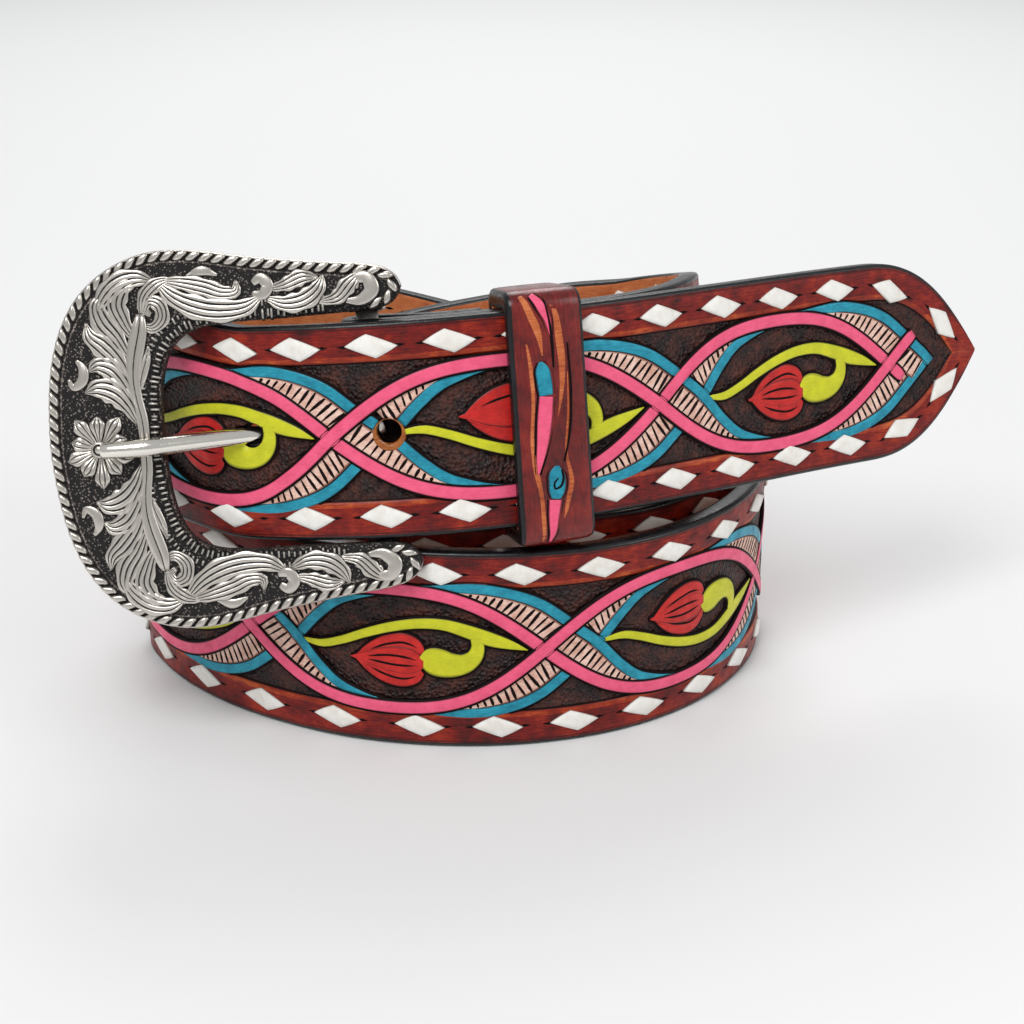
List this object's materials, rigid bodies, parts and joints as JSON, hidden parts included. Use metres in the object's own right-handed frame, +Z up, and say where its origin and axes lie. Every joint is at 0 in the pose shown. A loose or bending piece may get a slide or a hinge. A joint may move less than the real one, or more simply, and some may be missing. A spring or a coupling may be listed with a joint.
{
  "type": "western belt",
  "caption": "Coiled and buckled western leather belt with tooled, painted ribbon pattern, white lacing and a cast silver-tone buckle.",
  "frame": {"origin": "bottom centre of the part's bounding box, on the surface that the coil stands on", "axes": "+X along the longest extent, towards the belt tip; -Y towards the side that shows the buckle; +Z up"},
  "size_m": [0.173, 0.1018, 0.0894],
  "materials": {
    "leather": "red-brown tooled and painted grain leather, waxed, with black burnished edges, tan flesh side and white lacing",
    "keeper_leather": "red-brown tooled leather loop, waxed, with black edges",
    "cast_silver": "cast zinc, plated and antiqued: bright raised scrolls over a dark ground",
    "bright_metal": "bright nickel plate"
  },
  "bodies": {
    "root": {"strap": "leather", "keeper": "keeper_leather", "buckle_frame": "cast_silver", "buckle_tongue": "bright_metal", "turnback_rivet_1": "bright_metal"}
  },
  "joints": []
}
